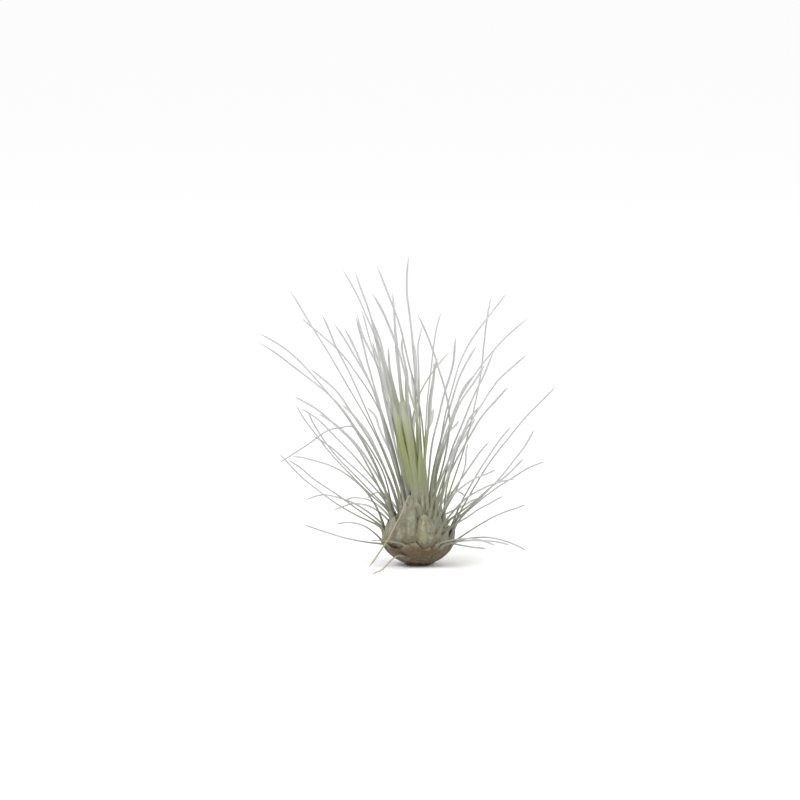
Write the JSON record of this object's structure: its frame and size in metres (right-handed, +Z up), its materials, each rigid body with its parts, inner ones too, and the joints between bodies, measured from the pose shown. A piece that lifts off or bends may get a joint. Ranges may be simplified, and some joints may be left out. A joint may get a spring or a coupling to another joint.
{
  "type": "air plant",
  "caption": "small air plant: a bulb of overlapping leaf sheaths with thread-like leaves fanning out on all sides and a green central shoot, on a short woody stem",
  "frame": {"origin": "the middle of the stem's flat foot, which the plant stands on", "axes": "+Z up; +X to the right of the picture; +Y away from the viewer"},
  "size_m": [0.083, 0.1086, 0.0866],
  "materials": {
    "stem": "rough, brown",
    "old_leaf": "matte, mealy, brown-grey",
    "grey_leaf": "matte, mealy, grey-green",
    "green_leaf": "matte, yellow-green",
    "dry_leaf": "matte, tan, papery"
  },
  "bodies": {
    "root": {"stem": "stem", "old_leaves": "old_leaf", "outer_leaves": "grey_leaf", "middle_leaves": "grey_leaf", "inner_leaves": "grey_leaf", "central_shoot": "green_leaf", "dry_leaf_front": "dry_leaf", "dry_leaf_low": "dry_leaf"}
  },
  "joints": []
}
